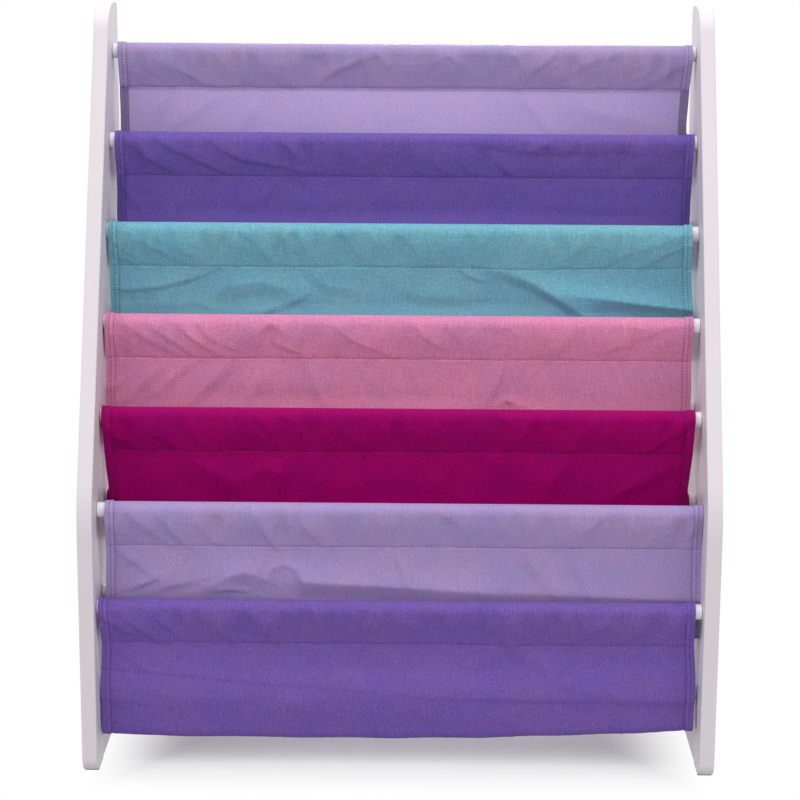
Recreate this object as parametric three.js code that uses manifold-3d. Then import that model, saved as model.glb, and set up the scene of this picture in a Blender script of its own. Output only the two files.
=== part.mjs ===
// Sling bookshelf for a child's room: two side panels, seven cloth slings on round dowels.
// Millimetres, +Z up, the front towards -Y, the origin on the floor under the middle of the rack.
// Left and right are as seen from the front.

import * as THREE from 'three';
import { mergeVertices } from 'three/addons/utils/BufferGeometryUtils.js';
import Module from 'manifold-3d';

const wasm = await Module();
wasm.setup();

// Side panels. Depths are measured back from the upright lower front edge.
const rackWidth = 620;
const rackDepth = 276;
const rackHeight = 736;
const panelThickness = 15;
const panelEdgeRound = 1.5;
const panelTopDepth = 63.7;
const kinkHeight = 268;
const kinkRadius = 120;
const topFrontRadius = 40;
const topRearRadius = 12;
const footRadius = 14;

// Dowels. All but the lowest front one are spaced evenly along the leaning front edge, from the
// top down to just under the kink. The lowest one hangs below the kink, behind the upright edge.
const tierCount = 7;
const dowelDiameter = 15;
const dowelEdgeDistance = 39.5;
const topDowelDrop = 48;
const kinkDowelDrop = 8;
const lowestDowelSetback = 22;
const lowestDowelDrop = 101.6;
const rearDowelSetback = 27;
const rearDowelDrop = 92;
const dowelEndGap = 0.3;

// Slings. Each is one cloth with a sewn sleeve at both ends.
const slingSideGap = 4.5;
const clothThickness = 1.2;
const clothDowelGap = 0.3;
const frontSleeveDepth = 45;
const rearSleeveDepth = 28;
const frontSeamSetback = 1.5;
const frontLegSetback = 4;
const troughDrop = 134;
const foldDepth = 1.3;
const foldWaves = 1.8;
const foldSlantShare = 0.16;
const foldShiftShare = 0.37;
const seamPucker = 2.6;
const troughEndLift = 4;
// How far each sling has slid from the middle, as a share of its side gap, from the top sling down.
const slingSlideShares = [0.2, 0.27, -0.58, -0.53, -0.58, 0.87, -0.51];

// Flat-head wood screws through the panels into the dowel ends
const screwLength = 38;
const screwShankDiameter = 4;
const screwHeadDiameter = 9;
const screwHeadHeight = 2.6;
const screwTipLength = 5;
const screwClearance = 0.3;

// Foot pads
const padThickness = 1.8;
const padLength = 34;
const padSideInset = 0.6;
const padGlueLine = 0.2;

// Facets
const cornerStepDegrees = 11;
const edgeRoundSegments = 2;
const dowelSegments = 20;
const sleeveSegments = 8;
const screwSegments = 12;
const troughSegments = 6;
const foldSteps = 10;

const halfTurn = Math.PI;
const quarterTurn = Math.PI / 2;
const frontLean = Math.atan2(rackDepth - panelTopDepth, rackHeight - kinkHeight);
const dowelRadius = dowelDiameter / 2;
const hollowRadius = dowelRadius + clothDowelGap;
const sleeveRadius = hollowRadius + clothThickness;
const panelBottom = padThickness + padGlueLine;
const halfWidth = rackWidth / 2;
const innerHalfWidth = halfWidth - panelThickness;
const halfDepth = rackDepth / 2;
const slingWidth = 2 * (innerHalfWidth - slingSideGap);

const paint = () => new THREE.MeshStandardMaterial({ color: 0xf1eff2, roughness: 0.35, metalness: 0 });
const steel = () => new THREE.MeshStandardMaterial({ color: 0xb9bcc0, roughness: 0.3, metalness: 1 });
const rubber = () => new THREE.MeshStandardMaterial({ color: 0x2a2422, roughness: 0.8, metalness: 0 });
const cloth = (color) => new THREE.MeshStandardMaterial({ color, roughness: 0.75, metalness: 0 });
const slingColors = [0xa58fbe, 0x6b4f9b, 0x6fa5b3, 0xd483ae, 0x93105f, 0xa58fbe, 0x6f569e];

// Turns a flat outline, drawn as depth and height, to stand across the rack and run along X
function alongX(geometry) {
  const depthAxis = new THREE.Vector3(0, 1, 0);
  const heightAxis = new THREE.Vector3(0, 0, 1);
  const widthAxis = new THREE.Vector3(1, 0, 0);
  return geometry.applyMatrix4(new THREE.Matrix4().makeBasis(depthAxis, heightAxis, widthAxis));
}

function toSolid(geometry) {
  const bare = geometry.clone();
  bare.deleteAttribute('normal');
  bare.deleteAttribute('uv');
  const merged = mergeVertices(bare);
  return new wasm.Manifold(new wasm.Mesh({
    numProp: 3,
    vertProperties: Float32Array.from(merged.attributes.position.array),
    triVerts: Uint32Array.from(merged.index.array),
  }));
}

function toGeometry(solid) {
  const mesh = solid.getMesh();
  const geometry = new THREE.BufferGeometry();
  geometry.setAttribute('position', new THREE.BufferAttribute(mesh.vertProperties, mesh.numProp));
  geometry.setIndex(new THREE.BufferAttribute(mesh.triVerts, 1));
  geometry.computeVertexNormals();
  return geometry;
}

function part(name, geometry, material) {
  const mesh = new THREE.Mesh(geometry, material);
  mesh.name = name;
  return mesh;
}

// Points of an arc from one angle to another round a centre
function arcPoints(centre, radius, from, to, steps) {
  const points = [];
  for (let i = 0; i <= steps; i += 1) {
    const angle = from + (to - from) * i / steps;
    points.push(new THREE.Vector2(radius, 0).rotateAround(new THREE.Vector2(), angle).add(centre));
  }
  return points;
}

// Replaces each corner of an outline by an arc of its own radius
function roundedOutline(corners) {
  const points = [];
  corners.forEach(({ at, radius }, i) => {
    const before = corners[(i + corners.length - 1) % corners.length].at.clone().sub(at).normalize();
    const after = corners[(i + 1) % corners.length].at.clone().sub(at).normalize();
    const halfAngle = Math.acos(before.dot(after)) / 2;
    const centre = before.clone().add(after).setLength(radius / Math.sin(halfAngle)).add(at);
    const start = before.clone().multiplyScalar(radius / Math.tan(halfAngle)).add(at).sub(centre);
    const turn = (halfTurn - 2 * halfAngle) * Math.sign(after.cross(before));
    const steps = Math.ceil(Math.abs(turn) / THREE.MathUtils.degToRad(cornerStepDegrees));
    points.push(...arcPoints(centre, radius, start.angle(), start.angle() + turn, steps));
  });
  return points;
}

// A sleeve pulled straight to its seam: the arc over its dowel and the two sides of the seam
function sleeveOutline(dowel, radius, seam, seamRadius) {
  const down = seam.clone().sub(dowel);
  const spread = Math.asin((radius - seamRadius) / down.length());
  const rear = down.angle() + quarterTurn - spread;
  const front = down.angle() - quarterTurn + spread + 2 * halfTurn;
  const [seamRear, seamFront] = arcPoints(seam, seamRadius, rear, front, 1);
  return { over: arcPoints(dowel, radius, rear, front, sleeveSegments), seamRear, seamFront };
}

// A turned shape along X. Its profile is radius and distance out, with the outer end at zero.
function turnedAlongX(profile, segments, side) {
  const geometry = new THREE.LatheGeometry(profile, segments);
  return geometry.rotateZ(-side * quarterTurn);
}

function screwProfile(clearance) {
  const headRadius = screwHeadDiameter / 2 + clearance;
  const shankRadius = screwShankDiameter / 2 + clearance;
  const end = screwLength + clearance;
  return [
    new THREE.Vector2(0, -end),
    new THREE.Vector2(shankRadius, -end + screwTipLength),
    new THREE.Vector2(shankRadius, -screwHeadHeight - clearance),
    new THREE.Vector2(headRadius, -clearance),
    new THREE.Vector2(headRadius, 0),
    new THREE.Vector2(0, 0),
  ];
}

// Places of the front dowels: depth from the lower front edge, and height
function frontDowelPlaces() {
  const places = [];
  const edgeShift = dowelEdgeDistance / Math.cos(frontLean);
  const leaningDowels = tierCount - 1;
  const top = rackHeight - topDowelDrop;
  const pitch = (top - kinkHeight + kinkDowelDrop) / (leaningDowels - 1);
  for (let tier = 0; tier < leaningDowels; tier += 1) {
    const height = top - tier * pitch;
    places.push(new THREE.Vector2((height - kinkHeight) * Math.tan(frontLean) + edgeShift, height));
  }
  places.push(new THREE.Vector2(lowestDowelSetback, kinkHeight - lowestDowelDrop));
  return places;
}

const frontDowels = frontDowelPlaces();
const rearDowelOffset = new THREE.Vector2(rearDowelSetback, -rearDowelDrop);
const screwPlaces = frontDowels.flatMap((place) => [place, place.clone().add(rearDowelOffset)]);

function panelOutline() {
  return roundedOutline([
    { at: new THREE.Vector2(0, panelBottom), radius: footRadius },
    { at: new THREE.Vector2(rackDepth, panelBottom), radius: footRadius },
    { at: new THREE.Vector2(rackDepth, rackHeight), radius: topRearRadius },
    { at: new THREE.Vector2(rackDepth - panelTopDepth, rackHeight), radius: topFrontRadius },
    { at: new THREE.Vector2(0, kinkHeight), radius: kinkRadius },
  ]);
}

// One panel with its countersunk screw holes, centred on its thickness
function panelGeometry(side) {
  const blank = new THREE.ExtrudeGeometry(new THREE.Shape(panelOutline()), {
    depth: panelThickness - 2 * panelEdgeRound,
    bevelThickness: panelEdgeRound,
    bevelSize: panelEdgeRound,
    bevelOffset: -panelEdgeRound,
    bevelSegments: edgeRoundSegments,
  });
  blank.translate(0, 0, panelEdgeRound - panelThickness / 2);
  let solid = toSolid(alongX(blank));
  for (const place of screwPlaces) {
    const hole = turnedAlongX(screwProfile(screwClearance), screwSegments, side);
    hole.translate(side * panelThickness / 2, place.x, place.y);
    solid = solid.subtract(toSolid(hole));
  }
  return toGeometry(solid);
}

// A dowel with a pilot bore in each end for its screw
function dowelGeometry() {
  const length = 2 * (innerHalfWidth - dowelEndGap);
  const round = new THREE.CylinderGeometry(dowelRadius, dowelRadius, length, dowelSegments);
  let solid = toSolid(round.rotateZ(quarterTurn));
  for (const side of [-1, 1]) {
    const bore = turnedAlongX(screwProfile(screwClearance), screwSegments, side);
    bore.translate(side * halfWidth, 0, 0);
    solid = solid.subtract(toSolid(bore));
  }
  return toGeometry(solid);
}

// A sling from the side, seen from its front dowel, with a hollow for each dowel
function slingShape() {
  const frontDowel = new THREE.Vector2();
  const frontSeam = new THREE.Vector2(frontSeamSetback, sleeveRadius - frontSleeveDepth);
  const rearSeam = rearDowelOffset.clone().add(new THREE.Vector2(0, sleeveRadius - rearSleeveDepth));
  const troughRadius = (rearDowelSetback - frontLegSetback) / 2;
  const troughCentre = new THREE.Vector2(frontLegSetback + troughRadius, troughRadius - troughDrop);
  const outside = arcPoints(troughCentre, troughRadius + clothThickness / 2, -halfTurn, 0, troughSegments);
  const inside = arcPoints(troughCentre, troughRadius - clothThickness / 2, 0, -halfTurn, troughSegments);
  const front = sleeveOutline(frontDowel, sleeveRadius, frontSeam, clothThickness);
  const rear = sleeveOutline(rearDowelOffset, sleeveRadius, rearSeam, clothThickness);
  const shape = new THREE.Shape([
    ...front.over, front.seamFront, ...outside, rear.seamRear,
    ...rear.over, rear.seamFront, ...inside, front.seamRear,
  ]);
  for (const [dowel, seam] of [[frontDowel, frontSeam], [rearDowelOffset, rearSeam]]) {
    shape.holes.push(new THREE.Path([...sleeveOutline(dowel, hollowRadius, seam, 0).over, seam]));
  }
  return shape;
}

// Gives a straight sling its folds. The cloth stays where it is at the dowels, waves back and
// forth along the front seam and leg, draws in below the seam and lifts at its trough's ends.
function drape(geometry, tier) {
  const position = geometry.attributes.position;
  const seamDrop = frontSleeveDepth - sleeveRadius;
  const rearDrop = rearDowelDrop + sleeveRadius;
  for (let i = 0; i < position.count; i += 1) {
    const drop = -position.getZ(i);
    const across = position.getX(i) / slingWidth;
    const frontShare = 1 - position.getY(i) / (rearDowelSetback - sleeveRadius);
    const seamShare = THREE.MathUtils.smoothstep(drop, sleeveRadius, seamDrop);
    const hang = THREE.MathUtils.clamp(frontShare, 0, 1) * seamShare;
    const foot = THREE.MathUtils.smoothstep(drop, rearDrop, troughDrop);
    const turns = foldWaves * across + foldSlantShare * drop / seamDrop + foldShiftShare * tier;
    const wave = foldDepth * hang * (1 - foot) * Math.sin(2 * halfTurn * turns);
    const lift = troughEndLift * foot * (2 * across) ** 2;
    const drawnIn = 2 * across * seamPucker * hang;
    position.setXYZ(i, position.getX(i) - drawnIn, position.getY(i) + wave, lift - drop);
  }
  return geometry;
}

function slingGeometry(tier) {
  const extrusion = { depth: slingWidth, steps: foldSteps, bevelEnabled: false };
  const geometry = new THREE.ExtrudeGeometry(slingShape(), extrusion).translate(0, 0, -slingWidth / 2);
  return drape(alongX(geometry), tier);
}

function screw(name, side) {
  const mesh = part(name, turnedAlongX(screwProfile(0), screwSegments, side), steel());
  mesh.position.x = side * halfWidth;
  return mesh;
}

// A dowel with the two screws that hold it, placed at its middle
function dowelSet(row, tier, place) {
  const set = new THREE.Group();
  set.add(part(`${row}_dowel_${tier}`, dowelGeometry(), paint()));
  set.add(screw(`${row}_dowel_${tier}_screw_left`, -1), screw(`${row}_dowel_${tier}_screw_right`, 1));
  set.position.set(0, place.x, place.y);
  return set;
}

function tierGroup(tier) {
  const group = new THREE.Group();
  const sling = part(`sling_${tier + 1}`, slingGeometry(tier), cloth(slingColors[tier]));
  sling.position.x = slingSlideShares[tier] * slingSideGap;
  group.add(sling, dowelSet('front', tier + 1, new THREE.Vector2()));
  group.add(dowelSet('rear', tier + 1, rearDowelOffset));
  group.position.set(0, frontDowels[tier].x, frontDowels[tier].y);
  return group;
}

function footPad(name, side, depth) {
  const width = panelThickness - 2 * padSideInset;
  const mesh = part(name, new THREE.BoxGeometry(width, padLength, padThickness), rubber());
  mesh.position.set(side * (halfWidth - panelThickness / 2), depth, padThickness / 2);
  return mesh;
}

function sideGroup(word, side) {
  const group = new THREE.Group();
  const panel = part(`${word}_side_panel`, panelGeometry(side), paint());
  panel.position.x = side * (halfWidth - panelThickness / 2);
  const padDepth = footRadius + padLength / 2;
  group.add(panel);
  group.add(footPad(`${word}_front_foot_pad`, side, padDepth));
  group.add(footPad(`${word}_rear_foot_pad`, side, rackDepth - padDepth));
  return group;
}

const rack = new THREE.Group();
rack.add(sideGroup('left', -1), sideGroup('right', 1));
for (let tier = 0; tier < tierCount; tier += 1) rack.add(tierGroup(tier));
rack.position.y = -halfDepth;

const bookshelf = new THREE.Group();
bookshelf.add(rack);
export default bookshelf;
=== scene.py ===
# Sling bookshelf: cloth, paint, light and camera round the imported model. All lengths in metres.
import math
import random

import bpy
import numpy as np
from mathutils import Matrix, Vector, noise


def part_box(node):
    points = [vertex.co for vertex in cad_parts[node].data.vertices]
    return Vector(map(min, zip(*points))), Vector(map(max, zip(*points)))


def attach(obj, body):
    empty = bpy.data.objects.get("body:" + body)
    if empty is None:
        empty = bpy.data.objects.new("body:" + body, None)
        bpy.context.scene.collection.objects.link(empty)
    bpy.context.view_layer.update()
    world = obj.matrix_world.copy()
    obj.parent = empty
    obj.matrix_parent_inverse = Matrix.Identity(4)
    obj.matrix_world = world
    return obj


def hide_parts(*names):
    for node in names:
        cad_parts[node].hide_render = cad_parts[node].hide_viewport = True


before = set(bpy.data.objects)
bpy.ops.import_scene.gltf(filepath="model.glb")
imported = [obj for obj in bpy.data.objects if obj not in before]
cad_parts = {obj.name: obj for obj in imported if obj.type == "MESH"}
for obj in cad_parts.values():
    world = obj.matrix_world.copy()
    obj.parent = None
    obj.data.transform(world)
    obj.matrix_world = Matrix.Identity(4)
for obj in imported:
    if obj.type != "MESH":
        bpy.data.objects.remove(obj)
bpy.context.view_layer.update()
tiers = range(1, 8)
print("frame loaded:", len(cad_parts), "nodes")


# Small helpers

def deselectAll():
    if bpy.context.object and bpy.context.object.mode != "OBJECT":
        bpy.ops.object.mode_set(mode="OBJECT")
    bpy.ops.object.select_all(action="DESELECT")


def activate(piece):
    deselectAll()
    piece.select_set(True)
    bpy.context.view_layer.objects.active = piece


def applyPlace(piece):
    activate(piece)
    bpy.ops.object.transform_apply(location=True, rotation=True, scale=True)


def faceOutwards(piece):
    activate(piece)
    bpy.ops.object.mode_set(mode="EDIT")
    bpy.ops.mesh.select_all(action="SELECT")
    bpy.ops.mesh.normals_make_consistent(inside=False)
    bpy.ops.object.mode_set(mode="OBJECT")


def addMesh(name, vertices, faces):
    mesh = bpy.data.meshes.new(name)
    mesh.from_pydata(vertices, [], faces)
    piece = bpy.data.objects.new(name, mesh)
    bpy.context.scene.collection.objects.link(piece)
    faceOutwards(piece)
    return piece


def dress(piece, finish):
    piece.data.materials.clear()
    piece.data.materials.append(finish)
    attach(piece, "root")
    return piece


def addModifier(piece, kind, settings):
    activate(piece)
    bpy.ops.object.modifier_add(type=kind)
    modifier = piece.modifiers[-1]
    for name, value in settings.items():
        setattr(modifier, name, value)
    bpy.ops.object.modifier_apply(modifier=modifier.name)


def roundEdges(piece, width, segments=3, fromAngle=60):
    addModifier(piece, "BEVEL", {"width": width, "segments": segments, "limit_method": "ANGLE",
                                 "angle_limit": math.radians(fromAngle)})


def smoothFaces(piece, angle):
    activate(piece)
    bpy.ops.object.shade_smooth_by_angle(angle=math.radians(angle))


def boxMiddle(node):
    low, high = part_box(node)
    return (low + high) / 2


# Shader maths

class Wire:
    # A node's output that can stand in a Python sum
    def __init__(self, finish, socket):
        self.finish = finish
        self.socket = socket

    def __add__(self, other):
        return self.finish.maths("ADD", self, other)

    def __radd__(self, other):
        return self.finish.maths("ADD", other, self)

    def __sub__(self, other):
        return self.finish.maths("SUBTRACT", self, other)

    def __rsub__(self, other):
        return self.finish.maths("SUBTRACT", other, self)

    def __mul__(self, other):
        return self.finish.maths("MULTIPLY", self, other)

    def __lt__(self, other):
        return self.finish.maths("LESS_THAN", self, other)

    def __gt__(self, other):
        return self.finish.maths("GREATER_THAN", self, other)


class Finish:
    # A material, or the world, whose nodes are added one by one
    def __init__(self, name, group=bpy.data.materials, output="ShaderNodeOutputMaterial"):
        self.made = group.new(name)
        self.made.use_nodes = True
        self.tree = self.made.node_tree
        self.tree.nodes.clear()
        self.output = self.tree.nodes.new(output)

    def add(self, kind, settings=None, inputs=None, output=0):
        node = self.tree.nodes.new(kind)
        for name, value in (settings or {}).items():
            setattr(node, name, value)
        for name, value in (inputs or {}).items():
            if isinstance(value, Wire):
                self.tree.links.new(value.socket, node.inputs[name])
            else:
                node.inputs[name].default_value = value
        return Wire(self, node.outputs[output])

    def maths(self, operation, *values):
        return self.add("ShaderNodeMath", {"operation": operation}, dict(enumerate(values)))

    def objectPlace(self):
        return self.add("ShaderNodeTexCoord", output=3)

    def axis(self, where, number):
        return self.add("ShaderNodeSeparateXYZ", {}, {0: where}, output=number)

    def ranged(self, value, low, high, ease="LINEAR"):
        # 0 below low and 1 above high
        sockets = {"Value": value, "From Min": low, "From Max": high}
        return self.add("ShaderNodeMapRange", {"interpolation_type": ease}, sockets)

    def bump(self, height, strength, distance=1.0):
        sockets = {"Strength": strength, "Distance": distance, "Height": height}
        return self.add("ShaderNodeBump", {}, sockets)

    def principled(self, sockets):
        return self.add("ShaderNodeBsdfPrincipled", {}, sockets)

    def mixShaders(self, share, first, second):
        return self.add("ShaderNodeMixShader", {}, {0: share, 1: first, 2: second})

    def mixColours(self, share, first, second, way="MIX"):
        settings = {"data_type": "RGBA", "blend_type": way}
        return self.add("ShaderNodeMix", settings, {0: share, 6: first, 7: second}, output=2)

    def noise(self, where, scale, detail=2.0, roughness=0.5):
        sockets = {"Vector": where, "Scale": scale, "Detail": detail, "Roughness": roughness}
        return self.add("ShaderNodeTexNoise", {}, sockets)

    def stretched(self, where, scale):
        return self.add("ShaderNodeMapping", {}, {"Vector": where, "Scale": scale})

    def direct(self):
        # 1 for a ray from the camera, off a gloss or through the cloth, which meets the white background
        seen = 0.0
        for kind in ("Is Camera Ray", "Is Glossy Ray", "Is Transmission Ray"):
            ray = self.add("ShaderNodeLightPath", output=kind)
            seen = self.maths("MAXIMUM", seen, ray)
        return seen

    def finish(self, shader):
        self.tree.links.new(shader.socket, self.output.inputs["Surface"])
        return self.made


def linear(red, green, blue):
    # A screen colour from 0 to 255 as the shader wants it
    def one(value):
        share = value / 255
        return share / 12.92 if share <= 0.04045 else ((share + 0.055) / 1.055) ** 2.4
    return (one(red), one(green), one(blue), 1.0)


def tinted(colour, share):
    return tuple(min(1.0, value * share) for value in colour[:3]) + (1.0,)


# Finishes

# Each finish: its colour, how dark its darker spots are, and the size and depth of its marks.
# A scale says how many marks there are in a metre.
panelPaint = {
    "colour": linear(219, 211, 217), "shade": 0.96, "gloss": 0.35,
    "roughness": 0.46, "cloudRoughness": 0.12, "peelRoughness": 0.05,
    "cloudScale": 9.0, "peelScale": 900.0, "brushScale": (60.0, 60.0, 1400.0),
    "peelShare": 0.8, "brushShare": 0.2, "depth": 0.00002, "strength": 0.5,
}


def makePanelPaint():
    finish = Finish("panelPaint")
    where = finish.objectPlace()
    cloudy = finish.noise(where, panelPaint["cloudScale"], 3.0)
    peel = finish.noise(where, panelPaint["peelScale"])
    brush = finish.noise(finish.stretched(where, panelPaint["brushScale"]), 1.0)
    base = finish.mixColours(cloudy, tinted(panelPaint["colour"], panelPaint["shade"]), panelPaint["colour"])
    height = peel * panelPaint["peelShare"] + brush * panelPaint["brushShare"]
    rough = panelPaint["roughness"] + (cloudy - 0.5) * panelPaint["cloudRoughness"]
    sockets = {
        "Base Color": base, "Roughness": rough + (peel - 0.5) * panelPaint["peelRoughness"],
        "Normal": finish.bump(height, panelPaint["strength"], panelPaint["depth"]),
        "Specular IOR Level": panelPaint["gloss"],
    }
    return finish.finish(finish.principled(sockets))


dowelPaint = {
    "colour": linear(240, 239, 246), "shade": 0.95, "roughness": 0.26, "cloudRoughness": 0.1, "bend": 1.5,
    "cloudScale": 30.0, "grainScale": (25.0, 700.0, 700.0), "depth": 0.00003, "strength": 0.4,
}


def makeDowelPaint():
    finish = Finish("dowelPaint")
    where = finish.objectPlace()
    grain = finish.noise(finish.stretched(where, dowelPaint["grainScale"]), 1.0, 3.0)
    cloudy = finish.noise(where, dowelPaint["cloudScale"])
    base = finish.mixColours(grain, tinted(dowelPaint["colour"], dowelPaint["shade"]), dowelPaint["colour"])
    bump = finish.bump(grain, dowelPaint["strength"], dowelPaint["depth"])
    rough = dowelPaint["roughness"] + (cloudy - 0.5) * dowelPaint["cloudRoughness"]
    sockets = {"Base Color": base, "Roughness": rough, "Normal": bump, "IOR": dowelPaint["bend"]}
    return finish.finish(finish.principled(sockets))


screwSteel = {
    "colour": linear(196, 198, 203), "shade": 0.82, "roughness": 0.27, "spotRoughness": 0.2,
    "spotScale": 1500.0, "lineScale": (300.0, 4000.0, 4000.0), "depth": 0.00001, "strength": 0.3,
}


def makeScrewSteel():
    finish = Finish("screwSteel")
    where = finish.objectPlace()
    spots = finish.noise(where, screwSteel["spotScale"], 3.0)
    lines = finish.noise(finish.stretched(where, screwSteel["lineScale"]), 1.0)
    base = finish.mixColours(spots, tinted(screwSteel["colour"], screwSteel["shade"]), screwSteel["colour"])
    bump = finish.bump(lines, screwSteel["strength"], screwSteel["depth"])
    rough = screwSteel["roughness"] + (spots - 0.5) * screwSteel["spotRoughness"]
    sockets = {"Base Color": base, "Metallic": 1.0, "Roughness": rough, "Normal": bump}
    return finish.finish(finish.principled(sockets))


padRubber = {
    "colour": linear(58, 50, 47), "shade": 0.6, "roughness": 0.8,
    "gritScale": 2200.0, "depth": 0.00008, "strength": 0.6,
}


def makePadRubber():
    finish = Finish("padRubber")
    where = finish.objectPlace()
    grit = finish.noise(where, padRubber["gritScale"], 3.0)
    base = finish.mixColours(grit, tinted(padRubber["colour"], padRubber["shade"]), padRubber["colour"])
    bump = finish.bump(grit, padRubber["strength"], padRubber["depth"])
    sockets = {"Base Color": base, "Roughness": padRubber["roughness"], "Normal": bump}
    return finish.finish(finish.principled(sockets))


slingLow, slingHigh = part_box("sling_1")
sling = {
    "width": slingHigh.x - slingLow.x,
    "sleeveRadius": 0.0084,     # from the dowel's middle to the outer face of the cloth
    "clothThickness": 0.0008,
    "hemThickness": 0.0017,
    "hemWidth": 0.0085,
    "hemMargin": 0.0002,        # how far short of the hem's inner line the extra thickness ends
    "endLean": 0.0006,          # how far both ends of the cloth lean in, towards the trough
    "hemStitches": (0.0085, 0.0046),   # how far each row lies from the cloth's edge
    "frontSeamSetback": 0.0015,
    "frontSeamDrop": 0.036,
    "rearSeamDrop": 0.019,
    "legSetback": 0.0085,
    "troughDrop": 0.134,
    "layerGap": 0.0011,
    "seamAllowance": 0.002,
    "smoothAngle": 60,
}

# Woven polyester. The pattern follows each sling's own UV map, which is the flat cloth in metres.
clothWeave = {
    "threadPitch": 0.00062,
    "threadHeight": 0.00009,
    "slubHeight": 0.0002,
    "uprightScale": (1500.0, 55.0, 1.0),
    "levelScale": (45.0, 1300.0, 1.0),
    "mottleScale": 420.0,
    "slubShares": (0.4, 0.25, 0.35),   # of the upright, the level and the mottled marks
    "slubRange": (0.38, 0.62),
    "grain": 0.3,             # how much single threads differ in tone
    "paleGrain": {1: 0.15, 6: 0.17},
    "cloudScale": 14.0,
    "cloudShare": 0.3,
    "cloudShade": 0.88,
    "crinkleScale": 75.0,     # fine creases a centimetre or two apart
    "crinkleHeight": 0.0018,
    "patchScale": 20.0,       # patches that lean to blue or to red, a few centimetres across
    "patchRange": (0.35, 0.65),
    "coolTint": (0.91, 0.95, 1.04, 1.0),
    "warmTint": (1.06, 1.0, 1.0, 1.0),
    "bumpStrength": 0.8,
    "roughness": 0.62,
    "slubRoughness": 0.25,
    "sheen": 0.5,
    "sheenRoughness": 0.3,
    "sheenWhite": 0.2,        # how far the sheen's own colour leans to white
    "gloss": 0.06,
    "throughLight": 0.24,     # share of the light that the cloth lets through
    "hemThroughLight": 0.1,   # a hem lays the cloth double, which lets less through
    # The side hems' colour is darkened as painted shade, for the double cloth that lets less light through
    "hemPaintedShade": 0.93,
    "lowHemPaintedShade": {1: 0.5, 2: 0.8, 5: 0.8},   # painted shade on the hem below the seam, where less light comes through
    "holePitch": 0.0031,      # painted shade of needle holes along the side hems
    "holeWidth": 0.0006,
    "holeFrom": -0.3,         # a hole shows where a wave of that pitch is above this
    "holePaintedShade": 0.6,
}
slingColours = {
    1: linear(180, 161, 205),
    2: linear(123, 98, 180),
    3: linear(130, 194, 208),
    4: linear(240, 150, 189),
    5: linear(168, 1, 108),
    6: linear(184, 163, 211),
    7: linear(131, 101, 183),
}


def makeCloth(tier, colour, seam):
    finish = Finish(f"slingCloth{tier}")
    flat = finish.add("ShaderNodeUVMap", {"uv_map": "flatCloth"})
    across = finish.axis(flat, 0)
    along = finish.axis(flat, 1)
    turn = 2 * math.pi / clothWeave["threadPitch"]
    weave = finish.maths("SINE", across * turn) * finish.maths("SINE", along * turn) * 0.5 + 0.5
    upright = finish.noise(finish.stretched(flat, clothWeave["uprightScale"]), 1.0, 3.0, 0.6)
    level = finish.noise(finish.stretched(flat, clothWeave["levelScale"]), 1.0, 3.0, 0.6)
    mottled = finish.noise(flat, clothWeave["mottleScale"])
    shares = clothWeave["slubShares"]
    slubs = upright * shares[0] + level * shares[1] + mottled * shares[2]
    grain = finish.ranged(slubs, *clothWeave["slubRange"])
    contrast = clothWeave["paleGrain"].get(tier, clothWeave["grain"])
    base = finish.mixColours(grain, tinted(colour, 1 - contrast), tinted(colour, 1 + contrast))
    clouds = finish.noise(flat, clothWeave["cloudScale"], 3.0) * clothWeave["cloudShare"]
    base = finish.mixColours(clouds, base, tinted(colour, clothWeave["cloudShade"]))
    patches = finish.noise(flat, clothWeave["patchScale"], 4.0, 0.6)
    patches = finish.ranged(patches, *clothWeave["patchRange"])
    hue = finish.mixColours(patches, clothWeave["coolTint"], clothWeave["warmTint"])
    base = finish.mixColours(1.0, base, hue, "MULTIPLY")
    crinkles = finish.noise(flat, clothWeave["crinkleScale"], 4.0, 0.6)
    height = weave * clothWeave["threadHeight"] + slubs * clothWeave["slubHeight"]
    height = height + finish.maths("ABSOLUTE", crinkles - 0.5) * clothWeave["crinkleHeight"]
    bump = finish.bump(height, clothWeave["bumpStrength"])
    half = sling["width"] / 2
    middle = finish.maths("ABSOLUTE", across - half)
    hem = middle > half - sling["hemWidth"]
    beat = finish.maths("SINE", along * (2 * math.pi / clothWeave["holePitch"]))
    onLine = 0.0
    for inset in sling["hemStitches"]:
        off = finish.maths("ABSOLUTE", middle - (half - inset))
        onLine = onLine + (off < clothWeave["holeWidth"])
    # Painted shade: dark dashes in the cloth's colour along the stitch rows, for the needle holes
    holes = onLine * (beat > clothWeave["holeFrom"])
    base = finish.mixColours(holes, base, tinted(colour, clothWeave["holePaintedShade"]))
    # Painted shade: the side hems are darkened in colour, and darker still below the seam
    highPaintedShade = clothWeave["hemPaintedShade"]
    lowPaintedShade = clothWeave["lowHemPaintedShade"].get(tier, highPaintedShade)
    shade = 1 - hem * ((1 - highPaintedShade) + (along > seam) * (highPaintedShade - lowPaintedShade))
    white = clothWeave["sheenWhite"]
    outer = finish.principled({
        "Base Color": finish.add("ShaderNodeVectorMath", {"operation": "SCALE"}, {0: base, 3: shade}),
        "Roughness": clothWeave["roughness"] + (slubs - 0.5) * clothWeave["slubRoughness"],
        "Normal": bump,
        "Sheen Weight": clothWeave["sheen"], "Sheen Roughness": clothWeave["sheenRoughness"],
        "Sheen Tint": tuple(white + (1 - white) * value for value in colour[:3]) + (1.0,),
        "Specular IOR Level": clothWeave["gloss"],
    })
    through = finish.add("ShaderNodeBsdfTranslucent", {}, {"Color": colour, "Normal": bump})
    share = clothWeave["throughLight"] - hem * (clothWeave["throughLight"] - clothWeave["hemThroughLight"])
    layer = finish.mixShaders(share, outer, through)
    # Light inside the cloth's own thickness leaves it freely, so it crosses one layer, not two
    inside = finish.add("ShaderNodeNewGeometry", output=6)
    free = finish.add("ShaderNodeBsdfTransparent")
    return finish.finish(finish.mixShaders(inside, layer, free))


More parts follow.
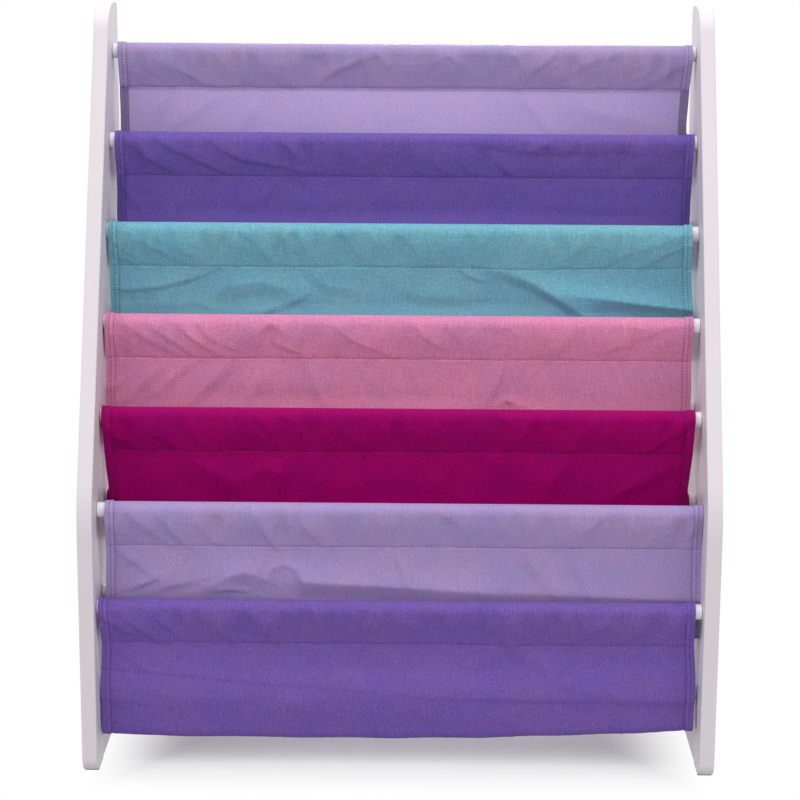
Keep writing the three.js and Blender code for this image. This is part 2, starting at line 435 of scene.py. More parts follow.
sewingThread = {
    "darkShade": 0.35, "shade": 0.6, "roughness": 0.5, "sheen": 0.2,
    "twistScale": 3500.0, "depth": 0.00005, "strength": 0.5,
}


def makeThread(name, colour):
    finish = Finish(name)
    twist = finish.noise(finish.objectPlace(), sewingThread["twistScale"])
    dark = tinted(colour, sewingThread["darkShade"])
    base = finish.mixColours(twist, dark, tinted(colour, sewingThread["shade"]))
    bump = finish.bump(twist, sewingThread["strength"], sewingThread["depth"])
    sockets = {"Base Color": base, "Roughness": sewingThread["roughness"], "Normal": bump}
    sockets["Sheen Weight"] = sewingThread["sheen"]
    return finish.finish(finish.principled(sockets))


paint = makePanelPaint()
dowelFinish = makeDowelPaint()
steel = makeScrewSteel()
rubber = makePadRubber()
threads = {tier: makeThread(f"slingThread{tier}", slingColours[tier]) for tier in tiers}
print("finishes made")


# Panels, dowels and pads

panel = {
    "topDepth": 0.0637, "kinkHeight": 0.268, "kinkRadius": 0.12, "topFrontRadius": 0.04,
    "topRearRadius": 0.012, "footRadius": 0.014, "edgeRound": 0.0015, "edgeSegments": 4,
    "arcStep": 3.0, "smoothAngle": 35,
}
screwHole = {"head": 0.0048, "shank": 0.0023, "rim": 0.0003, "depth": 0.0029, "clear": 0.001, "segments": 32}


def roundedOutline(corners):
    # A closed outline whose corners, each (y, z, radius), are rounded
    points = []
    for i, (y, z, radius) in enumerate(corners):
        at = Vector((y, z))
        before = (Vector(corners[i - 1][:2]) - at).normalized()
        after = (Vector(corners[(i + 1) % len(corners)][:2]) - at).normalized()
        half = before.angle(after) / 2
        centre = at + (before + after).normalized() * (radius / math.sin(half))
        start = at + before * (radius / math.tan(half)) - centre
        turn = (math.pi - 2 * half) * math.copysign(1, after.cross(before))
        steps = math.ceil(abs(math.degrees(turn)) / panel["arcStep"])
        for step in range(steps + 1):
            angle = math.atan2(start.y, start.x) + turn * step / steps
            points.append(centre + radius * Vector((math.cos(angle), math.sin(angle))))
    return points


def makeHoles(side, outer, inner):
    # One tool that cuts the panel's countersunk screw holes
    way = 1 if side == "right" else -1
    through = abs(outer - inner) + screwHole["clear"]
    profile = [(screwHole["head"], -screwHole["clear"]), (screwHole["head"], screwHole["rim"]),
               (screwHole["shank"], screwHole["depth"]), (screwHole["shank"], through)]
    turns = [2 * math.pi * i / screwHole["segments"] for i in range(screwHole["segments"])]
    count = len(turns)
    vertices, faces = [], []
    for row in ("front", "rear"):
        for tier in tiers:
            middle = boxMiddle(f"{row}_dowel_{tier}_screw_{side}")
            first = len(vertices)
            for radius, deep in profile:
                vertices += [(outer - way * deep, middle.y + radius * math.cos(turn),
                              middle.z + radius * math.sin(turn)) for turn in turns]
            for ring in range(len(profile) - 1):
                low = first + ring * count
                faces += [(low + i, low + (i + 1) % count, low + count + (i + 1) % count, low + count + i)
                          for i in range(count)]
            faces += [tuple(first + i for i in range(count))]
            faces += [tuple(first + (len(profile) - 1) * count + i for i in range(count))]
    return addMesh("holes", vertices, faces)


def makePanel(side):
    node = f"{side}_side_panel"
    low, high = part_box(node)
    outline = roundedOutline([
        (low.y, low.z, panel["footRadius"]), (high.y, low.z, panel["footRadius"]),
        (high.y, high.z, panel["topRearRadius"]),
        (high.y - panel["topDepth"], high.z, panel["topFrontRadius"]),
        (low.y, panel["kinkHeight"], panel["kinkRadius"]),
    ])
    deselectAll()
    bpy.ops.mesh.primitive_circle_add(vertices=len(outline), radius=1, fill_type="NGON", location=(0, 0, 0))
    piece = bpy.context.object
    piece.name = f"{side}_board"
    for vertex, point in zip(piece.data.vertices, outline):
        vertex.co = (low.x, point.x, point.y)
    bpy.ops.object.mode_set(mode="EDIT")
    bpy.ops.mesh.select_all(action="SELECT")
    bpy.ops.mesh.extrude_region_move(TRANSFORM_OT_translate={"value": (high.x - low.x, 0, 0)})
    faceOutwards(piece)
    roundEdges(piece, panel["edgeRound"], panel["edgeSegments"])
    outer, inner = (high.x, low.x) if side == "right" else (low.x, high.x)
    tool = makeHoles(side, outer, inner)
    addModifier(piece, "BOOLEAN", {"operation": "DIFFERENCE", "object": tool, "solver": "EXACT"})
    bpy.data.objects.remove(tool)
    smoothFaces(piece, panel["smoothAngle"])
    addModifier(piece, "WEIGHTED_NORMAL", {"keep_sharp": True})
    dress(piece, paint)
    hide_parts(node)


rod = {"segments": 64, "endRound": 0.0007, "smoothAngle": 40}


def makeDowel(row, tier):
    node = f"{row}_dowel_{tier}"
    low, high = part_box(node)
    deselectAll()
    bpy.ops.mesh.primitive_cylinder_add(
        vertices=rod["segments"], radius=(high.y - low.y) / 2, depth=high.x - low.x,
        location=(low + high) / 2, rotation=(0, math.pi / 2, 0))
    piece = bpy.context.object
    piece.name = f"{row}_rod_{tier}"
    applyPlace(piece)
    roundEdges(piece, rod["endRound"])
    smoothFaces(piece, rod["smoothAngle"])
    addModifier(piece, "WEIGHTED_NORMAL", {"keep_sharp": True})
    dress(piece, dowelFinish)
    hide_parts(node)


for side in ("left", "right"):
    makePanel(side)
for row in ("front", "rear"):
    for tier in tiers:
        makeDowel(row, tier)
print("panels and dowels made")

pad = {"edgeRound": 0.0005, "smoothAngle": 40}


def makePad(node):
    low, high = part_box(node)
    deselectAll()
    bpy.ops.mesh.primitive_cube_add(size=1, location=(low + high) / 2)
    piece = bpy.context.object
    piece.name = node.replace("_foot_pad", "_foot_bumper")
    piece.scale = high - low
    applyPlace(piece)
    roundEdges(piece, pad["edgeRound"])
    smoothFaces(piece, pad["smoothAngle"])
    dress(piece, rubber)
    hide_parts(node)


for side in ("left", "right"):
    for end in ("front", "rear"):
        makePad(f"{side}_{end}_foot_pad")

for node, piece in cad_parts.items():
    if "_screw_" in node:
        for slot in piece.material_slots:
            slot.material = steel


# Slings

camera = {
    "place": (0.0197, -2.3533, 0.8922), "yaw": -0.509, "pitch": 12.994, "roll": 0.333,
    "lens": 108.13, "sensor": 36.0, "frame": 800,
}
cameraTurn = (Matrix.Rotation(math.radians(-camera["yaw"]), 3, "Z")
              @ Matrix.Rotation(math.radians(90 - camera["pitch"]), 3, "X")
              @ Matrix.Rotation(math.radians(camera["roll"]), 3, "Z"))


def seenAt(points):
    # Where the camera sees the points, in a frame of 800 steps with its corner at the top left
    seen = (points - np.array(camera["place"])) @ np.array(cameraTurn)
    step = camera["lens"] / camera["sensor"] * camera["frame"]
    half = camera["frame"] / 2
    return half - step * seen[..., 0] / seen[..., 2], half + step * seen[..., 1] / seen[..., 2]


def arcPoints(centre, radius, start, end, steps=40):
    angles = np.radians(np.linspace(start, end, steps + 1))
    return np.asarray(centre) + radius * np.column_stack([np.cos(angles), np.sin(angles)])


def tangentAngle(dowel, point, side):
    # Where a straight stretch of cloth from the point meets the sleeve's round
    away = np.asarray(point) - np.asarray(dowel)
    lean = math.degrees(math.acos(sling["sleeveRadius"] / np.linalg.norm(away)))
    return math.degrees(math.atan2(away[1], away[0])) + side * lean


def slingPath(rear):
    # The cloth's line from its hem inside the front sleeve to its hem at the rear sleeve
    radius = sling["sleeveRadius"]
    front = np.zeros(2)
    seam = np.array([sling["frontSeamSetback"], -sling["frontSeamDrop"]])
    inner = seam + (sling["layerGap"], 0)
    rearSeam = rear + (0, -sling["rearSeamDrop"])
    rearInner = rearSeam - (sling["layerGap"], 0)
    trough = (rear[0] - sling["legSetback"]) / 2
    troughMiddle = np.array([sling["legSetback"] + trough, trough - sling["troughDrop"]])
    parts = [
        ("hem", [inner + (sling["endLean"], -sling["seamAllowance"]), inner]),
        ("over", arcPoints(front, radius, tangentAngle(front, inner, 1), 90)),
        ("round", arcPoints(front, radius, 90, tangentAngle(front, seam, -1) + 360)),
        ("sleeve", [seam]),
        ("leg", arcPoints(troughMiddle, trough, 180, 270)),
        ("rearLeg", arcPoints(troughMiddle, trough, 270, 360)),
        ("rearSeam", [rearSeam]),
        ("rearOver", arcPoints(rear, radius, tangentAngle(rear, rearSeam, 1),
                               tangentAngle(rear, rearInner, -1) + 360)),
        ("rearHem", [rearInner, rearInner + (-sling["endLean"], -sling["seamAllowance"])]),
    ]
    points = np.vstack([np.asarray(part) for name, part in parts])
    lengths = np.concatenate([[0], np.cumsum(np.linalg.norm(np.diff(points, axis=0), axis=1))])
    marks = {}
    count = 0
    for name, part in parts:
        count += len(part)
        marks[name] = lengths[count - 1]   # how far along the cloth each stretch ends
    return points, lengths, marks


def withLines(places, lines, clear):
    # Adds the given places and takes out those that lie too close to them
    kept = [place for place in places if min(abs(place - line) for line in lines) > clear]
    return np.array(sorted(kept + list(lines)))


grid = {
    "frontLength": 0.11, "frontRows": 106, "rearRows": 52, "columnStep": 0.0024, "clear": 0.0006,
    "nearSeam": (-0.0016, -0.0008, 0, 0.0008, 0.0016), "nearHem": (-0.0009, 0, 0.0009),
}


def rowPlaces(marks, total):
    # Rows of the grid: close together on the front, closer still at both seams
    front = np.linspace(0, marks["over"] + grid["frontLength"], grid["frontRows"])
    rear = np.linspace(front[-1], total, grid["rearRows"])[1:]
    near = np.array(grid["nearSeam"])
    lines = np.concatenate([marks["sleeve"] + near, marks["rearSeam"] + near])
    return withLines(np.concatenate([front, rear]), lines, grid["clear"])


def columnPlaces(width):
    near = np.array(grid["nearHem"])
    hem = width / 2 - sling["hemWidth"]
    places = np.linspace(-width / 2, width / 2, round(width / grid["columnStep"]) + 1)
    return withLines(places, np.concatenate([near - hem, near + hem]), grid["clear"])


def smoothStep(value, low, high):
    share = np.clip((value - low) / (high - low), 0, 1)
    return share * share * (3 - 2 * share)


def bell(away, reach):
    return np.exp(-(away / reach) ** 2)


def noiseField(across, down, seed):
    flat = [noise.noise(Vector((a, d, seed))) for a, d in zip(across.ravel(), down.ravel())]
    return np.array(flat).reshape(across.shape)


# Folds seen on each sling, from the front view, placed one by one. Each has its width on the upper side,
# its width on the lower side, and then x, y and height for each of its points. Places and widths are
# in the picture's 800 steps, about a millimetre each, and heights in millimetres. Walking along a
# fold, its lower side is on the right.
folds = {1: [
    (9, 5, 152, 56, 0.2, 178, 68, 0.9, 208, 83, 0.7), (10, 5, 216, 57, 0.3, 246, 80, 0.7),
    (10, 6, 262, 58, 0.3, 288, 84, 0.6),
    (6, 5, 316, 84, 0.3, 334, 70, 1.3, 352, 62, 1.3, 368, 56, 0.7, 378, 53, 0.4),
    (4, 4, 378, 54, 0.5, 386, 62, 0.7, 394, 72, 0.2), (5, 4, 430, 66, 0.3, 444, 56, 0.8),
    (5, 4, 448, 55, 0.8, 462, 63, 0.5, 476, 76, 0.2), (4, 4, 503, 74, 0.3, 514, 54, 1.1),
    (4, 5, 515, 54, 1.1, 524, 66, 0.6, 532, 84, 0.2), (8, 5, 520, 86, 0.5, 532, 70, 1.2, 552, 56, 0.9),
    (8, 6, 566, 76, 0.4, 584, 63, 0.8, 612, 56, 0.5), (10, 6, 646, 86, 0.3, 668, 72, 1.1, 692, 59, 0.9),
    (12, 9, 146, 128, 0.6, 158, 106, 1.2, 172, 91, 0.7),
    (14, 9, 182, 122, 0.8, 204, 104, 1.3, 226, 91, 0.6),
    (16, 10, 240, 130, 0.8, 252, 110, 1.2, 268, 92, 0.6),
    (5, 6, 300, 128, 0.3, 316, 118, 0.7, 319, 98, 0.9), (7, 6, 374, 104, 0.2, 388, 92, 0.9),
    (8, 7, 519, 90, 0.4, 530, 106, 1.1, 548, 131, 1.0),
    (16, 14, 572, 94, 0.5, 596, 112, 1.2, 650, 124, 1.0, 686, 128, 0.5),
], 2: [
    (9, 4, 126, 142, 0.5, 148, 156, 1.0, 176, 172, 0.5),
    (10, 4, 160, 141, 0.8, 190, 155, 1.6, 226, 172, 0.8),
    (9, 4, 216, 144, 0.8, 240, 157, 1.2, 272, 163, 1.2, 306, 171, 0.9),
    (8, 4, 283, 142, 0.8, 300, 156, 1.1, 312, 168, 0.6), (5, 4, 408, 164, 0.2, 422, 173, 0.5),
    (6, 4, 432, 160, 0.3, 446, 172, 0.7), (6, 4, 456, 155, 0.4, 471, 172, 1.0),
    (6, 4, 492, 156, 0.6, 507, 171, 1.1), (5, 4, 544, 144, 0.9, 556, 148, 0.3),
    (3, 13, 420, 143, -0.2, 470, 145, -0.5, 500, 152, -0.9, 540, 156, -1.1, 600, 155, -0.8, 688, 157, -0.1),
    (9, 5, 520, 154, 0.4, 549, 142, 1.0), (7, 6, 118, 176, 0.6, 126, 190, 0.8, 136, 206, 0.4),
    (14, 10, 252, 204, 0.5, 276, 186, 0.8), (7, 6, 300, 174, 0.6, 310, 188, 0.7),
    (16, 8, 546, 206, 0.2, 600, 209, 0.4, 680, 213, 0.3),
    (14, 9, 500, 188, 0.1, 600, 186, 0.3, 690, 190, 0.2),
], 3: [
    (9, 5, 132, 236, 0.4, 156, 247, 0.9, 196, 265, 0.7),
    (9, 5, 150, 233, 0.3, 182, 248, 0.7, 216, 266, 0.5),
    (5, 4, 243, 231, 0.8, 256, 244, 0.6, 274, 264, 0.4), (4, 4, 280, 240, 0.3, 293, 229, 0.9),
    (5, 4, 294, 229, 0.9, 306, 242, 0.6, 316, 262, 0.4),
    (5, 4, 340, 230, 1.0, 352, 243, 0.7, 364, 262, 0.4), (4, 4, 328, 240, 0.2, 339, 230, 0.9),
    (5, 4, 372, 236, 0.6, 384, 246, 0.3), (5, 4, 397, 231, 0.8, 408, 242, 0.5),
    (5, 4, 472, 233, 0.7, 480, 242, 0.4), (5, 4, 482, 244, 0.3, 495, 230, 1.0),
    (5, 4, 512, 229, 0.7, 524, 240, 0.3), (8, 5, 560, 262, 0.4, 588, 240, 0.6),
    (9, 5, 600, 264, 0.4, 640, 248, 0.9, 692, 233, 0.6),
    (8, 5, 636, 268, 0.4, 664, 254, 1.1, 692, 243, 0.9),
    (8, 4, 124, 289, 0.9, 160, 286, 1.1, 192, 278, 1.0, 214, 270, 0.5),
    (10, 14, 212, 298, 0.4, 230, 285, 1.4, 262, 281, 1.6, 284, 288, 1.3, 299, 296, 0.6),
    (8, 6, 254, 313, 0.8, 280, 306, 1.4, 300, 298, 0.9),
    (7, 9, 312, 272, 0.6, 330, 286, 0.9, 356, 290, 0.4),
    (8, 7, 296, 276, 0.4, 304, 290, 0.8, 308, 306, 0.5),
    (8, 4, 456, 266, 0.4, 470, 276, 1.3, 482, 280, 0.6),
    (20, 10, 484, 267, 0.8, 506, 272, 2.1, 530, 280, 3.4, 556, 295, 4.2, 586, 316, 4.4),
    (9, 15, 564, 291, 1.4, 601, 296, 3.6, 648, 302, 4.8, 696, 307, 5.0),
    (16, 10, 390, 282, 0.3, 420, 296, 0.8, 470, 300, 0.6),
    (9, 6, 120, 306, 0.3, 200, 303, 0.7, 216, 309, 0.3),
], 4: [
    (9, 5, 124, 322, 0.5, 146, 335, 1.0, 168, 349, 0.6),
    (9, 5, 148, 322, 0.7, 170, 336, 1.3, 192, 352, 0.8),
    (7, 4, 180, 326, 0.9, 196, 338, 1.5, 216, 352, 0.9),
    (8, 4, 196, 322, 0.6, 214, 338, 1.0, 232, 347, 0.6),
    (5, 4, 260, 331, 0.6, 272, 322, 1.2, 281, 331, 0.5),
    (5, 5, 272, 340, 0.9, 284, 345, 1.1, 308, 353, 0.6),
    (7, 4, 333, 324, 0.8, 352, 338, 1.1, 392, 355, 0.7),
    (6, 4, 413, 321, 0.7, 424, 335, 1.3, 440, 346, 0.8),
    (6, 4, 448, 324, 0.7, 458, 336, 0.6, 470, 350, 0.3),
    (4, 4, 480, 330, 0.3, 487, 321, 0.8, 494, 328, 0.3),
    (4, 4, 499, 330, 0.4, 506, 323, 0.9, 514, 332, 0.3), (8, 5, 546, 352, 0.4, 572, 336, 0.7),
    (12, 5, 596, 352, 0.4, 626, 344, 0.7, 664, 327, 1.1, 690, 324, 0.5),
    (10, 8, 130, 396, 0.8, 146, 378, 1.2, 168, 361, 0.6),
    (12, 8, 156, 392, 0.6, 172, 376, 1.1, 190, 362, 0.6),
    (14, 9, 192, 402, 0.9, 208, 384, 1.5, 228, 364, 0.8),
    (12, 9, 250, 396, 0.4, 262, 380, 0.9, 272, 366, 0.4),
    (6, 6, 324, 402, 1.0, 316, 382, 1.2, 308, 359, 0.9), (12, 10, 410, 366, 0.3, 420, 384, 0.7),
    (12, 5, 488, 403, 0.8, 497, 384, 1.2, 505, 361, 0.8), (3, 3, 508, 361, 0.6, 509, 400, 0.9),
    (34, 6, 540, 416, 0.3, 600, 414, 1.1, 690, 416, 1.1),
    (5, 5, 498, 405, 0.6, 508, 400, 1.2, 520, 406, 0.6), (6, 7, 96, 392, 0.4, 118, 384, 0.8, 130, 372, 0.3),
], 5: [
    (8, 5, 102, 422, 0.6, 118, 436, 1.2, 146, 449, 0.7),
    (9, 6, 142, 424, 0.4, 162, 436, 0.9, 188, 450, 0.6), (8, 5, 190, 424, 0.3, 208, 448, 0.6),
    (6, 4, 222, 428, 0.2, 240, 445, 0.6), (6, 5, 256, 415, 0.8, 268, 426, 1.0, 276, 442, 0.6),
    (5, 5, 284, 414, 0.9, 296, 424, 0.6, 304, 444, 0.5), (9, 6, 340, 426, 0.3, 360, 444, 0.5),
    (8, 5, 520, 442, 0.2, 537, 416, 0.9, 548, 420, 0.3), (8, 5, 500, 416, 0.8, 512, 424, 0.4),
    (9, 6, 572, 448, 0.4, 596, 424, 0.7), (9, 5, 646, 451, 0.7, 668, 438, 1.2, 694, 418, 0.8),
    (16, 22, 188, 456, 0.8, 200, 464, 1.9, 222, 474, 1.9, 240, 492, 1.0),
    (9, 11, 240, 482, 0.3, 254, 472, 0.8, 266, 468, 1.2, 280, 472, 0.9),
    (10, 10, 274, 502, 1.0, 279, 482, 1.7, 285, 458, 1.0),
    (9, 10, 314, 502, 0.9, 316, 480, 1.5, 310, 456, 0.8),
    (12, 12, 446, 502, 0.8, 442, 482, 1.4, 454, 460, 0.8), (8, 9, 494, 500, 0.6, 498, 458, 1.0),
    (14, 10, 544, 500, 0.7, 556, 476, 1.2, 574, 457, 0.5),
    (16, 11, 606, 501, 1.0, 632, 486, 2.0, 664, 470, 1.2, 686, 460, 0.5),
    (12, 7, 118, 500, 0.4, 112, 470, 1.0, 106, 452, 0.5),
], 6: [
    (10, 6, 128, 512, 0.4, 152, 528, 0.8, 170, 544, 0.4),
    (9, 5, 156, 513, 0.4, 172, 528, 0.9, 190, 546, 0.6), (9, 6, 194, 516, 0.3, 216, 542, 0.7),
    (8, 5, 252, 508, 0.5, 262, 526, 1.2, 276, 546, 0.8),
    (9, 6, 296, 514, 0.3, 310, 530, 0.7, 328, 546, 0.4), (8, 5, 438, 508, 0.6, 450, 520, 0.5),
    (9, 6, 586, 528, 0.3, 612, 511, 0.7), (10, 7, 560, 546, 0.3, 590, 528, 0.6),
    (12, 8, 640, 530, 0.3, 690, 512, 0.6), (8, 5, 120, 551, 0.5, 136, 562, 0.9, 152, 574, 0.4),
    (6, 4, 130, 588, 0.5, 142, 583, 1.3, 157, 577, 0.7),
    (8, 6, 118, 572, 0.3, 126, 562, 0.6, 140, 556, 0.2),
    (14, 6, 150, 592, 0.3, 172, 584, 1.0, 196, 580, 0.5),
    (15, 14, 198, 592, 0.8, 214, 584, 2.0, 228, 575, 2.6, 244, 570, 2.4, 256, 573, 1.8, 265, 579, 0.9),
    (14, 16, 296, 577, 1.0, 304, 579, 2.6, 330, 581, 3.2, 400, 585, 3.0, 478, 590, 2.6, 500, 592, 2.4,
     560, 593, 2.3, 620, 596, 2.3, 698, 599, 2.4),
    (4, 5, 266, 578, 0.5, 272, 568, 0.8, 284, 563, 0.9, 296, 568, 0.9, 303, 578, 0.7),
    (5, 4, 216, 590, 0.4, 232, 588, 1.6, 248, 590, 0.4),
    (8, 4, 396, 554, 0.4, 401, 566, 0.9, 406, 580, 0.5),
    (14, 9, 524, 552, 0.4, 536, 570, 0.8, 552, 590, 0.6),
    (12, 8, 568, 554, 0.3, 580, 572, 0.9, 588, 590, 0.8),
], 7: [
    (7, 4, 96, 608, 0.8, 112, 622, 1.2, 134, 634, 0.6), (7, 4, 128, 618, 0.5, 142, 628, 0.9, 162, 641, 0.5),
    (7, 4, 158, 618, 0.6, 170, 627, 1.0, 188, 642, 0.7),
    (8, 5, 210, 616, 0.4, 222, 628, 0.7, 236, 641, 0.4),
    (8, 5, 248, 610, 0.5, 262, 622, 0.9, 276, 642, 0.7), (4, 4, 279, 615, 0.3, 284, 607, 0.8),
    (4, 4, 285, 607, 0.8, 294, 620, 0.6, 298, 640, 0.5),
    (5, 4, 312, 607, 0.9, 318, 620, 0.6, 314, 640, 0.3),
    (5, 4, 345, 606, 1.0, 356, 618, 0.6, 372, 632, 0.2), (5, 4, 374, 610, 0.4, 386, 620, 0.3),
    (7, 4, 440, 612, 0.5, 452, 630, 0.6, 462, 642, 0.4), (4, 4, 458, 606, 0.6, 466, 616, 0.3),
    (6, 6, 502, 608, 0.7, 506, 622, 0.8, 506, 644, 0.7),
    (6, 5, 516, 642, 0.6, 520, 624, 0.8, 528, 608, 0.9),
    (9, 6, 572, 642, 0.3, 594, 628, 0.6, 616, 616, 0.2), (9, 6, 624, 642, 0.3, 650, 622, 0.5),
    (2.4, 17, 104, 671, -0.8, 150, 674, -0.9, 206, 681, -0.8, 262, 686, -1.0, 312, 689, -0.8,
     362, 694, -0.6, 432, 701, -0.5, 500, 703, -1.0, 528, 704, -1.0, 600, 705, -0.6, 690, 706, -0.7),
    (6, 6, 126, 655, 0.4, 140, 664, 0.8, 152, 672, 0.4),
    (6, 5, 256, 690, 0.5, 258, 668, 0.8, 262, 646, 0.4),
    (9, 10, 316, 650, 0.5, 334, 668, 0.9, 352, 692, 0.5),
    (8, 6, 300, 722, 0.5, 300, 704, 0.9, 305, 692, 0.4),
    (12, 12, 464, 674, 0.4, 484, 662, 0.9, 508, 648, 0.7),
    (12, 12, 516, 648, 0.7, 548, 668, 1.0, 584, 692, 0.5),
    (14, 10, 168, 706, 0.1, 230, 700, 0.3, 262, 690, 0.2),
    (14, 8, 590, 690, 0.1, 640, 700, 0.4, 688, 704, 0.3),
    (6, 5, 514, 732, 0.4, 512, 716, 0.8, 520, 704, 0.4),
    (5, 4, 104, 699, 0.4, 130, 702, 0.4, 156, 704, 0.1),
]}
hang = {
    "dragHeight": 0.0009,      # folds that pull from the seam up to the dowel
    "dragSize": (0.022, 0.07),
    "dragLean": 4.6,           # how strongly they lean towards the middle, per metre
    "leanSpan": (-0.01, 0.05),
    "fineSize": (0.4, 0.03),   # finer ones: their width beside that of the others, and their length
    "sleeveShares": (1.4, 0.5),   # of both kinds on the sleeve
    "legShare": 0.4,           # of the finer ones below the seam
    "billowHeight": 0.0024,    # broad soft waves of the hanging front
    "billowSize": (0.055, 0.045),
    "standOff": 0.0021,        # how far the cloth bellies out below the dowel
    "standOffAt": 0.009,
    "standOffReach": (0.01, 0.018),
    "scallopHeight": 0.0042,   # how much that varies along the sleeve
    "scallopSize": (0.017, 0.2),
    "scallopTop": 0.35,
    "tuckDepth": 1.8,          # of the sharp tucks between them
    "puckerHeight": 0.0004,    # short waves held by the stitches
    "puckerSize": (0.009, 0.05),
    "puckerReach": 0.005,
    "seamGroove": (0.0008, 0.0009),   # depth and width
    "hemGroove": (0.0005, 0.0008),
    "foldShare": {1: 2.3, 2: 2.2, 3: 2.1, 4: 2.2, 5: 3.0, 6: 2.8, 7: 2.9},
    "lowerFoldShare": 2.9,     # how strong they are below the seam
    "foldCurve": 1.4,
    "endLift": 0.003,
    "rightLift": {7: 0.0095},
    "sag": {7: 0.0058},
    "ruffleHeight": 0.0006,    # small waves of the side edges
    "ruffleLength": 0.03,
    # Where each zone of the cloth starts and ends, from the lines that slingSurface names
    "sleeveZone": ((0.002, 0.02), (-0.003, 0.006)),
    "legZone": ((-0.002, 0.03), (-0.012, 0.012)),
    "facingZone": ((0.003, 0.001), (-0.01, 0.01)),
    "liftZone": ((0.02, 0), (0, 0.028)),
    "drawnDrop": 0.035,        # how far below the seam drawnIn's lower values start
    "drawnShare": 0.1,         # how much of its seam values is left at the dowel
}
# How much each sling's left and right edges are drawn in at the seam and lower down, in millimetres
drawnIn = {
    1: (1.0, 0.2, 1.5, 2.9), 2: (0.8, -0.5, 1.0, 1.0), 3: (0.5, 0.2, -0.8, -3.4), 4: (-0.3, -1.6, 0.2, -0.8),
    5: (1.2, 4.4, 0.0, 3.4), 6: (-0.4, -1.8, 0.2, -1.2), 7: (1.9, -0.6, -0.6, -3.6),
}


def foldHeight(x, y, above, below, *values):
    # One fold's height at each point seen at (x, y)
    nearest = np.full(x.shape, np.inf)
    height = np.zeros(x.shape)
    places = list(zip(values[::3], values[1::3], values[2::3]))
    for (x0, y0, h0), (x1, y1, h1) in zip(places, places[1:]):
        length = math.hypot(x1 - x0, y1 - y0)
        wayX, wayY = (x1 - x0) / length, (y1 - y0) / length
        share = np.clip(((x - x0) * wayX + (y - y0) * wayY) / length, 0, 1)
        awayX, awayY = x - x0 - share * (x1 - x0), y - y0 - share * (y1 - y0)
        distance = np.hypot(awayX, awayY)
        lower = awayY * wayX - awayX * wayY > 0
        upper = np.exp(-(distance / above) ** hang["foldCurve"])
        shape = np.where(lower, np.maximum(0, 1 - distance / below), upper) * (h0 + (h1 - h0) * share)
        closer = distance < nearest
        height = np.where(closer, shape, height)
        nearest = np.where(closer, distance, nearest)
    return height


def inHem(edge):
    # Whether a place so far from the cloth's side edge is in the side hem
    return edge < sling["hemWidth"] - sling["hemMargin"]


